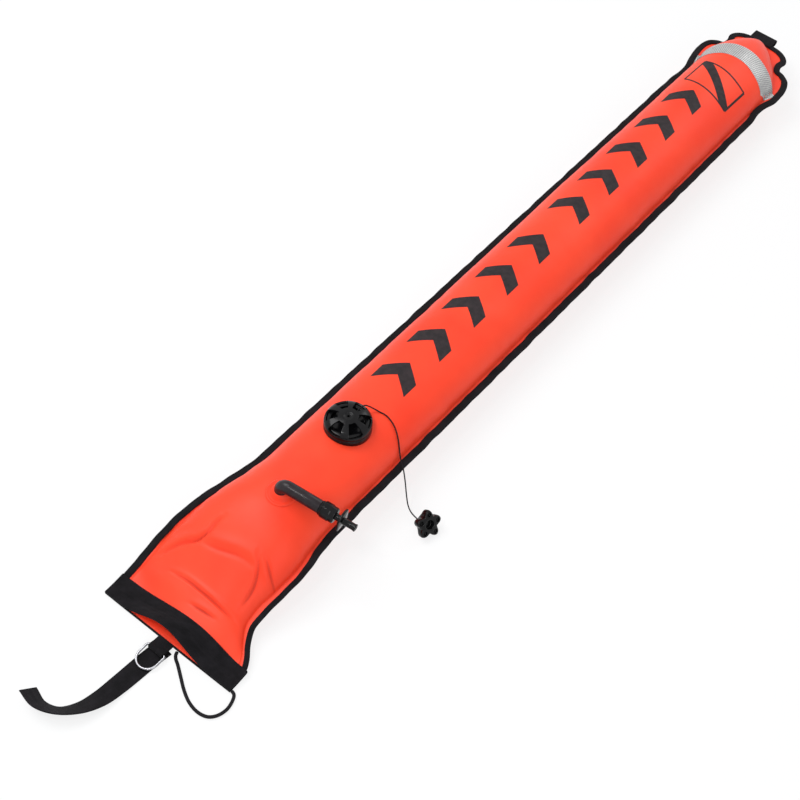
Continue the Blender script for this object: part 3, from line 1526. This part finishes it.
class BUOY_OT_binding(bpy.types.Operator):
    """Folded tape sewn round the bag's edge."""

    bl_idname = "buoy.binding"
    bl_label = "Edge binding"

    def execute(self, context):
        plan = seam_path(BINDING_SPACING)
        lengths = run_length(plan)
        chance = np.random.default_rng(BINDING_SEED)
        phases = chance.uniform(0, 2 * pi, 6)
        waver = np.zeros(len(plan))
        rise = np.zeros(len(plan))
        for k, pitch in enumerate(BINDING_PITCHES):
            waver += np.sin(2 * pi * lengths / pitch + phases[k]) / 3
            rise += np.sin(2 * pi * lengths / (pitch * BINDING_RISE_PITCH) + phases[k + 3]) / 3
        ahead = directions(plan)
        outs = leftwards(ahead)
        outs[0] = (-1 / ahead[0, 1], 0)
        outs[-1] = (-1 / ahead[-1, 1], 0)
        left = step(lengths, 0.0, BINDING_CALM)
        right = step(lengths[-1] - lengths, 0.0, BINDING_CALM)
        fade = np.minimum(left, right)
        plan = plan + outs * (waver * fade * sizes().binding_gather)[:, None]
        heights = seam_height(plan[:, 1]) + rise * fade * sizes().binding_gather
        path = np.column_stack([plan, heights])
        s = plan[:, 1] - MOUTH_Y
        grown = BINDING_RIGHT + (1 - BINDING_RIGHT) * step(s, *BINDING_GROWS)
        narrow = np.where(plan[:, 0] > 0, grown, 1.0)
        outs = np.column_stack([outs * narrow[:, None], np.zeros(len(plan))])
        ups = np.zeros((len(plan), 3))
        ups[:, 2] = BINDING_UNDER_BAND + (1 - BINDING_UNDER_BAND) * step(s, BAND_DEPTH, BINDING_STEPS_UP)
        piece = swept("bag_binding", path, outs, ups, self.section())
        finish = once(grosgrain_binding)
        stands_for(piece, "edge_binding", "bag", finish)
        return {"FINISHED"}

    def section(self):
        """Tape folded to a U round the cloth's edge, with a soft fold and rolled inner edges."""
        half = 0.0017
        wall = 0.0009
        lip = 0.0013
        roll = 0.0004
        soft = 0.0002
        reach = sizes().binding_width - lip
        top = [(-reach, half - roll), (-reach + roll, half), (-reach / 2, half + soft)]
        fold = [(lip - half + half * cos(a), half * sin(a)) for a in np.linspace(pi / 2, -pi / 2, 9)]
        foot = [(u, -v) for u, v in reversed(top)]
        inner = [(-reach, wall - half), (lip - half, wall - half)]
        inner += [(u, -v) for u, v in reversed(inner)]
        return top + fold + foot + inner


class BUOY_OT_mouth_bands(bpy.types.Operator):
    """Webbing sewn over both lips of the mouth."""

    bl_idname = "buoy.mouth_bands"
    bl_label = "Mouth bands"

    def execute(self, context):
        for name, node, front in (
            ("mouth_band_front", "front_mouth_webbing", True),
            ("mouth_band_back", "back_mouth_webbing", False),
        ):
            low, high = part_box(node)
            stations = np.linspace(0, BAND_DEPTH, BAND_STATIONS)
            turns = np.linspace(pi, 0, BAND_TURNS)
            corner = np.linspace(1.0, 0.0, BAND_CORNER_RINGS + 1)[:-1]
            left = [self.flat_line(front, -1, low.x, share, stations) for share in corner]
            right = [self.flat_line(front, 1, high.x, share, stations) for share in reversed(corner)]
            laid = left + [self.bowed_line(front, turn, stations) for turn in turns] + right
            rings = np.array([self.ring(line, front) for line in laid])
            outline = rings[BAND_UV_RING]
            around = run_length(np.vstack([outline, outline[:1]]))
            along = run_length(rings[:, BAND_UV_LINE])
            piece = skinned(name, rings, around, along, [rings[0, :, 1:], rings[-1, :, 1:]])
            stands_for(piece, node, "bag", once(polyester_webbing))
        return {"FINISHED"}

    def bowed_line(self, front, turn, stations):
        """Where the band's underside lies on the cloth, from the lip to the band's far edge."""
        line = []
        for y in MOUTH_Y + stations:
            edge = bulge_edge(y, -1 if cos(turn) < 0 else 1)
            side = 1 if front else -1
            bow = abs(sin(turn)) ** fullness(y, front)
            rise = bow_height(y) if front else -back_drop(y)
            x = edge * cos(turn) + (peak_place(y) * sin(turn) ** 2 if front else 0.0)
            z = seam_height(y) + side * (SEAM_LAYER + (LAYER - SEAM_LAYER) * abs(sin(turn)) ** 0.5)
            line.append((x, y + (setback(y) * bow if front else 0.0), z + side * BAND_LIFT + rise * bow))
        return line

    def flat_line(self, front, side, corner_x, share, stations):
        """The same line beside the cloth's bulge: share 1 is the mouth's corner."""
        line = []
        for y in MOUTH_Y + stations:
            near = bulge_edge(y, side) * side
            x = near + (corner_x - near) * share
            line.append((x, y, seam_height(y) + (1 if front else -1) * (SEAM_LAYER + BAND_LIFT)))
        return line

    def ring(self, line, front):
        """Section of the band at one place across the mouth: over the cloth and round its lip."""
        side = 1 if front else -1
        x, lip_y, lip_z = line[0]
        inner_z = lip_z - side * BAND_INSIDE
        thick = side * WEBBING
        ring = [(far_x, y, z + thick) for far_x, y, z in reversed(line[1:])]
        ring[0] = (ring[0][0], ring[0][1] - BAND_ROLL, ring[0][2] - side * BAND_ROLL_DOWN)
        middle = (lip_z + thick + inner_z) / 2
        radius = abs(lip_z + thick - inner_z) / 2
        depth = radius * BAND_BEND
        bend = lip_y - BAND_LIP + depth
        for a in np.radians(np.linspace(90, 270, 9)):
            ring.append((x, bend + depth * cos(a), middle + side * radius * sin(a)))
        ring.append((x, lip_y - BAND_ROLL, inner_z))
        return ring + list(line)


class BUOY_OT_print(bpy.types.Operator):
    """Plain chevrons and a plain flag printed on the cloth."""

    bl_idname = "buoy.print"
    bl_label = "Print"

    def execute(self, context):
        tree = cloth_tree()
        ink = once(screen_ink)
        lift = sizes().print_lift
        marks = []
        for start in MARK_GROUPS:
            for k in range(MARKS_IN_GROUP):
                y = start + MARK_PITCH * k
                x = MARK_X + MARK_DRIFT * (y - MARK_GROUPS[0])
                marks.append(laid_outline(f"mark_{len(marks) + 1}", self.chevron(x, y), lift, tree))
        piece = joined("print_marks", marks)
        self.finish(piece, ink)
        lines = []
        corners = FLAG_CORNERS + FLAG_CORNERS[:1]
        for first, second in zip(corners, corners[1:]):
            lines.append(laid_strip("flag_line", self.line(first, second), FLAG_LINE, lift, 3, tree))
        bar = laid_outline("flag_bar", self.bar(), lift, tree)
        piece = joined("print_flag", [bar] + lines)
        self.finish(piece, ink)
        return {"FINISHED"}

    def finish(self, piece, ink):
        put_on(piece, ink)
        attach(piece, "bag")

    def chevron(self, x, y):
        wide, bar, rise = MARK_HALF_WIDTH, MARK_BAR, MARK_RISE
        low = y - (bar + rise) / 2
        return [
            (x - wide, low),
            (x, low + rise),
            (x + wide, low),
            (x + wide, low + bar),
            (x, low + rise + bar),
            (x - wide, low + bar),
        ]

    def line(self, first, second):
        return [
            (first[0] + (second[0] - first[0]) * t, first[1] + (second[1] - first[1]) * t)
            for t in np.linspace(0, 1, FLAG_LINE_POINTS)
        ]

    def bar(self):
        """Bar from the flag's far left corner to its near right one, cut square to its frame."""
        low, start, top, end = [Vector(corner) for corner in FLAG_CORNERS]
        way = (end - start).normalized()

        def cut_off(corner, towards):
            side = (towards - corner).normalized()
            return corner + side * (FLAG_BAR / 2 / abs(way.cross(side)))

        points = [start, cut_off(start, top), cut_off(end, top)]
        points += [end, cut_off(end, low), cut_off(start, low)]
        return [(point.x, point.y) for point in points]


class BUOY_OT_tape(bpy.types.Operator):
    """Reflective tape welded round the front of the head."""

    bl_idname = "buoy.tape"
    bl_label = "Reflective tape"

    def execute(self, context):
        tree = cloth_tree()
        xs = np.linspace(TAPE_LEFT, TAPE_RIGHT, TAPE_POINTS)
        line = [(x, TAPE_MIDDLE - TAPE_BEND * x * x * step(abs(x), 0.0, TAPE_STRAIGHT)) for x in xs]
        piece = laid_strip("head_tape", line, TAPE_WIDTH, sizes().tape_lift, TAPE_COLUMNS, tree)
        finish = once(glass_bead_tape)
        stands_for(piece, "reflective_tape", "bag", finish)
        return {"FINISHED"}


class BUOY_OT_head_loop(bpy.types.Operator):
    """Webbing loop sewn over the head's binding."""

    bl_idname = "buoy.head_loop"
    bl_label = "Head loop"

    def execute(self, context):
        low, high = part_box("head_loop")
        half = (high.z - low.z) / 2 - HEAD_LOOP_INSET
        middle = (high.z + low.z) / 2
        bend = high.y - half - HEAD_LOOP_INSET
        arc = [(bend + half * cos(a), half * sin(a)) for a in np.linspace(pi / 2, -pi / 2, 13)]
        leg = [(low.y, half), (low.y + HEAD_LOOP_LEG, half)]
        line = leg + arc + [(y, -z) for y, z in reversed(leg)]
        x = (low.x + high.x) / 2
        path = np.array([(x, y, middle + z) for y, z in line])
        piece = folded_webbing("head_webbing", path, np.array([1.0, 0.0, 0.0]), high.x - low.x)
        stands_for(piece, "head_loop", "bag", once(polyester_webbing))
        return {"FINISHED"}


class BUOY_OT_straps(bpy.types.Operator):
    """Webbing tab that holds the ring, and the loose strap under it."""

    bl_idname = "buoy.straps"
    bl_label = "Tab and strap"

    def execute(self, context):
        webbing = once(polyester_webbing)
        stands_for(self.tab(), "ring_tab", "bag", webbing)
        stands_for(self.strap(), "strap_tail", "bag", webbing)
        return {"FINISHED"}

    def tab(self):
        """Webbing folded round the ring's bar."""
        ring = next(joint for joint in frame["joints"] if joint["name"] == "ring_swing")
        bar = np.array(ring["pos_m"])
        along = np.array([-sin(TAB_TURN), -cos(TAB_TURN), 0.0])
        across = np.array([cos(TAB_TURN), -sin(TAB_TURN), 0.0])
        legs = [(-TAB_REACH, 0.0009), (-TAB_REACH * 0.75, 0.0009), (-TAB_RADIUS * 2.2, 0.0010)]
        turns = np.linspace(radians(100), radians(-100), 13)
        arc = [(TAB_RADIUS * cos(a), TAB_RADIUS * sin(a)) for a in turns]
        line = legs + arc + [(u, -v) for u, v in reversed(legs)]
        path = np.array([bar + along * u + np.array([0, 0, v]) for u, v in line])
        return folded_webbing("ring_webbing", path, across, TAB_WIDTH)

    def strap(self):
        """Loose end of the strap, tipped on to its edge where it turns."""
        path = smooth_path(STRAP_ROUTE, 12)
        plan = np.column_stack([path[:, 0], path[:, 1], np.zeros(len(path))])
        ahead = directions(plan)
        tilt = np.radians(np.maximum(0, path[:, 2]))
        outs = np.column_stack([leftwards(ahead) * np.cos(tilt)[:, None], np.sin(tilt)])
        ups = np.cross(ahead, outs)
        plan[:, 2] = STRAP_WIDTH / 2 * np.sin(tilt) + WEBBING / 2 * np.cos(tilt)
        return swept("strap_end", plan, outs, ups, rounded_bar(STRAP_WIDTH, STRAP_THICKNESS))


class BUOY_OT_patch(bpy.types.Operator):
    """Welded cloth disc under the inflator's foot."""

    bl_idname = "buoy.patch"
    bl_label = "Inflator patch"

    def execute(self, context):
        tree = cloth_tree()
        turns = np.linspace(0, 2 * pi, PATCH_STEPS + 1)
        points = np.zeros((len(PATCH_PROFILE), len(turns), 3))
        for i, (radius, lift) in enumerate(PATCH_PROFILE):
            for j, turn in enumerate(turns):
                x = FOOT[0] + radius * cos(turn)
                y = FOOT[1] + radius * sin(turn)
                if radius > PATCH_LOOSE_RADIUS:
                    points[i, j] = drop_on(tree, x, y, lift)
                else:
                    points[i, j] = (x, y, cloth_top(x, y) + lift)
        points[:, -1] = points[:, 0]
        piece = grid_piece("foot_patch", points, points[:, :, :2])
        alone(piece)
        bpy.ops.object.mode_set(mode="EDIT")
        bpy.ops.mesh.select_all(action="SELECT")
        bpy.ops.mesh.remove_doubles(threshold=1e-6)
        bpy.ops.object.mode_set(mode="OBJECT")
        if piece.data.polygons[0].normal.z < 0:
            piece.data.flip_normals()
        cloth = once(coated_nylon_orange)
        stands_for(piece, "inflator_patch", "bag", cloth)
        return {"FINISHED"}


class BUOY_OT_valve(bpy.types.Operator):
    """Domed cap of the dump valve with its six windows, and the collar under it."""

    bl_idname = "buoy.valve"
    bl_label = "Dump valve"

    def execute(self, context):
        plastic = once(moulded_nylon_black)
        collar = refined("valve_base", "valve_collar")
        soften(collar, width=0.0003, limit=50)
        stands_for(collar, "valve_base", "bag", plastic)
        cap = self.dome()
        boss = lathe("valve_cap_boss", BOSS_PROFILE, ROUND_STEPS)
        placed(boss, (0, VALVE_Y, VALVE_TOP))
        soften(boss, width=0.0002)
        cap = joined("valve_dome", [cap, boss])
        stands_for(cap, "valve_cap", "bag", plastic)
        return {"FINISHED"}

    def dome(self):
        """Skin of the cap, turned, its windows opened, then thickened and rounded."""
        piece = lathe("valve_dome", CAP_PROFILE, CAP_STEPS)
        placed(piece, (0, 0, 0), spin=radians(180 / CAP_STEPS))
        pitch = 360 / WINDOWS
        for face in piece.data.polygons:
            middle = face.center
            radius = (middle.x**2 + middle.y**2) ** 0.5
            off = (degrees(atan2(middle.y, middle.x)) - WINDOW_FIRST) % pitch
            off = min(off, pitch - off)
            face.select = WINDOW_NEAR < radius < WINDOW_FAR and off < WINDOW_HALF_TURN
        alone(piece)
        bpy.ops.object.mode_set(mode="EDIT")
        bpy.ops.mesh.delete(type="FACE")
        bpy.ops.object.mode_set(mode="OBJECT")
        apply_modifier(piece, "SUBSURF", levels=2)
        apply_modifier(piece, "SOLIDIFY", thickness=CAP_WALL, offset=-1.0)
        soften(piece, width=0.0007, limit=50, segments=4)
        return placed(piece, (0, VALVE_Y, VALVE_TOP))


class BUOY_OT_inflator(bpy.types.Operator):
    """Rubber elbow, lock nut and winged mouthpiece of the oral inflator."""

    bl_idname = "buoy.inflator"
    bl_label = "Oral inflator"

    def execute(self, context):
        level = Vector((cos(TUBE_TURN), sin(TUBE_TURN), 0))
        along = level * cos(TUBE_TILT) - Vector((0, 0, sin(TUBE_TILT)))
        elbow, end = self.elbow(level, along)
        rubber = once(moulded_rubber_grey)
        plastic = once(moulded_nylon_black)
        stands_for(elbow, "inflator_elbow", "bag", rubber)
        nut = placed(self.nut(), end, along)
        stands_for(nut, "inflator_nut", "lock_nut", plastic)
        pipe = placed(self.mouthpiece(), end, along)
        stands_for(pipe, "inflator_mouthpiece", "mouthpiece", plastic)
        return {"FINISHED"}

    def elbow(self, level, along):
        """Tube grown from its flared foot: up, round the bend with Spin, then straight out."""
        foot = Vector((FOOT[0], FOOT[1], FOOT_HEIGHT))
        bpy.ops.object.select_all(action="DESELECT")
        radius = ELBOW_FOOT
        bpy.context.tool_settings.mesh_select_mode = (True, False, False)
        bpy.ops.mesh.primitive_circle_add(
            vertices=ELBOW_SIDES, radius=radius, fill_type="NOTHING", location=foot
        )
        piece = bpy.context.active_object
        piece.name = "inflator_tube"
        bpy.ops.object.transform_apply(location=True, rotation=True, scale=True)
        bpy.ops.object.mode_set(mode="EDIT")
        bpy.ops.mesh.select_all(action="SELECT")
        height = 0.0
        for up, wide in ELBOW_RADII:
            bpy.ops.mesh.extrude_region_move(TRANSFORM_OT_translate={"value": (0, 0, up - height)})
            share = wide / radius
            bpy.ops.transform.resize(value=(share, share, 1), center_override=foot + Vector((0, 0, up)))
            radius, height = wide, up
        turn = pi / 2 + TUBE_TILT
        middle = foot + Vector((0, 0, TUBE_RISE)) + level * TUBE_BEND
        bpy.ops.mesh.spin(steps=ELBOW_STEPS, angle=-turn, center=middle, axis=(-level.y, level.x, 0))
        end = middle - level * TUBE_BEND * cos(turn) + Vector((0, 0, TUBE_BEND * sin(turn)))
        half = TUBE_LENGTH * 0.5
        for length, share in ((half, 1.0), (half - ELBOW_END, 1.0), (ELBOW_END, ELBOW_END_SHARE)):
            bpy.ops.mesh.extrude_region_move(TRANSFORM_OT_translate={"value": along * length})
            end = end + along * length
            bpy.ops.transform.resize(value=(share, share, share), center_override=end)
        bpy.ops.mesh.select_all(action="SELECT")
        bpy.ops.mesh.normals_make_consistent(inside=False)
        bpy.ops.object.mode_set(mode="OBJECT")
        apply_modifier(piece, "SOLIDIFY", thickness=ELBOW_WALL, offset=-1.0)
        soften(piece, width=0.0002, limit=50)
        return piece, end

    def nut(self):
        """Ten-sided nut with a rounded foot, a waist and a nose that drops to the pipe."""
        piece = lathe("lock_nut", NUT_PROFILE, NUT_SIDES)
        soften(piece, width=0.0006, limit=25, segments=3)
        return piece

    def mouthpiece(self):
        """Pipe with its shoulder, a round tip and a thick flange cut flat on two sides."""
        piece = lathe("winged_mouthpiece", PIPE_PROFILE, ROUND_STEPS)
        for side in (-1, 1):
            bpy.ops.object.select_all(action="DESELECT")
            place = (side * FLAT_TOOL_PLACE, 0, FLANGE_HEIGHT)
            bpy.ops.mesh.primitive_cube_add(size=FLAT_TOOL_SIZE, location=place)
            tool = bpy.context.active_object
            bpy.ops.object.transform_apply(location=True, rotation=True, scale=True)
            cut(piece, tool)
        soften(piece, width=0.0004, limit=35)
        return piece


class BUOY_OT_ring_and_knob(bpy.types.Operator):
    """Steel ring in its tab, and the knob on the pull cord."""

    bl_idname = "buoy.ring_and_knob"
    bl_label = "Ring and knob"

    def execute(self, context):
        steel_wire("d_ring", "steel_ring", "ring")
        knob = refined("pull_knob", "star_knob")
        apply_modifier(knob, "REMESH", mode="VOXEL", voxel_size=0.0003)
        apply_modifier(knob, "SMOOTH", factor=0.5, iterations=8)
        alone(knob)
        bpy.ops.object.shade_smooth()
        stands_for(knob, "pull_knob", "bag", once(moulded_nylon_black))
        return {"FINISHED"}


class BUOY_OT_springs(bpy.types.Operator):
    """Coil springs of the dump valve and the inflator, which shorten as their joints move."""

    bl_idname = "buoy.springs"
    bl_label = "Springs"

    def execute(self, context):
        joints = {joint["name"]: joint for joint in frame["joints"]}
        for node, name, joint in (
            ("valve_spring", "valve_coil", "poppet_lift"),
            ("inflator_spring", "inflator_coil", "mouthpiece_push"),
        ):
            self.shorten(steel_wire(node, name, "bag"), joints[joint])
        return {"FINISHED"}

    def shorten(self, spring, joint):
        """The end that the joint moves towards stays still, and the other end follows the joint."""
        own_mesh(spring)


class BUOY_OT_hard_finishes(bpy.types.Operator):
    """Finishes of the plastic and rubber pieces that keep their CAD shape."""

    bl_idname = "buoy.hard_finishes"
    bl_label = "Plastic and rubber"

    def execute(self, context):
        plastic = once(moulded_nylon_black)
        rubber = once(moulded_rubber_grey)
        finishes = {
            "valve_seat": plastic,
            "valve_seal": rubber,
            "valve_poppet": plastic,
            "inflator_barrel": plastic,
            "inflator_seal": rubber,
        }
        for node, made in finishes.items():
            for slot in frame["nodes"][node].material_slots:
                slot.material = made
        return {"FINISHED"}


class BUOY_PT_pieces(bpy.types.Panel):
    """Buttons that make the buoy's pieces."""

    bl_label = "Surface Marker Buoy"
    bl_idname = "BUOY_PT_pieces"
    bl_space_type = "VIEW_3D"
    bl_region_type = "UI"
    bl_category = "Buoy"

    def draw(self, context):
        for operator in OPERATORS:
            self.layout.operator(operator.bl_idname)
        for group in (context.scene.buoy_sizes, context.scene.buoy_colours):
            box = self.layout.box()
            for name in group.__annotations__:
                box.prop(group, name)


OPERATORS = [
    BUOY_OT_stage,
    BUOY_OT_cords,
    BUOY_OT_cloth,
    BUOY_OT_lining,
    BUOY_OT_binding,
    BUOY_OT_mouth_bands,
    BUOY_OT_tape,
    BUOY_OT_print,
    BUOY_OT_head_loop,
    BUOY_OT_straps,
    BUOY_OT_patch,
    BUOY_OT_valve,
    BUOY_OT_inflator,
    BUOY_OT_ring_and_knob,
    BUOY_OT_springs,
    BUOY_OT_hard_finishes,
]


def register():
    for made in (BuoyColours, BuoySizes, *OPERATORS, BUOY_PT_pieces):
        bpy.utils.register_class(made)
    bpy.types.Scene.buoy_colours = PointerProperty(type=BuoyColours)
    bpy.types.Scene.buoy_sizes = PointerProperty(type=BuoySizes)


def unregister():
    del bpy.types.Scene.buoy_sizes
    del bpy.types.Scene.buoy_colours
    for made in reversed((BuoyColours, BuoySizes, *OPERATORS, BUOY_PT_pieces)):
        bpy.utils.unregister_class(made)


def main():
    register()
    for operator in OPERATORS:
        group, name = operator.bl_idname.split(".")
        getattr(getattr(bpy.ops, group), name)()


if __name__ == "__main__":
    main()
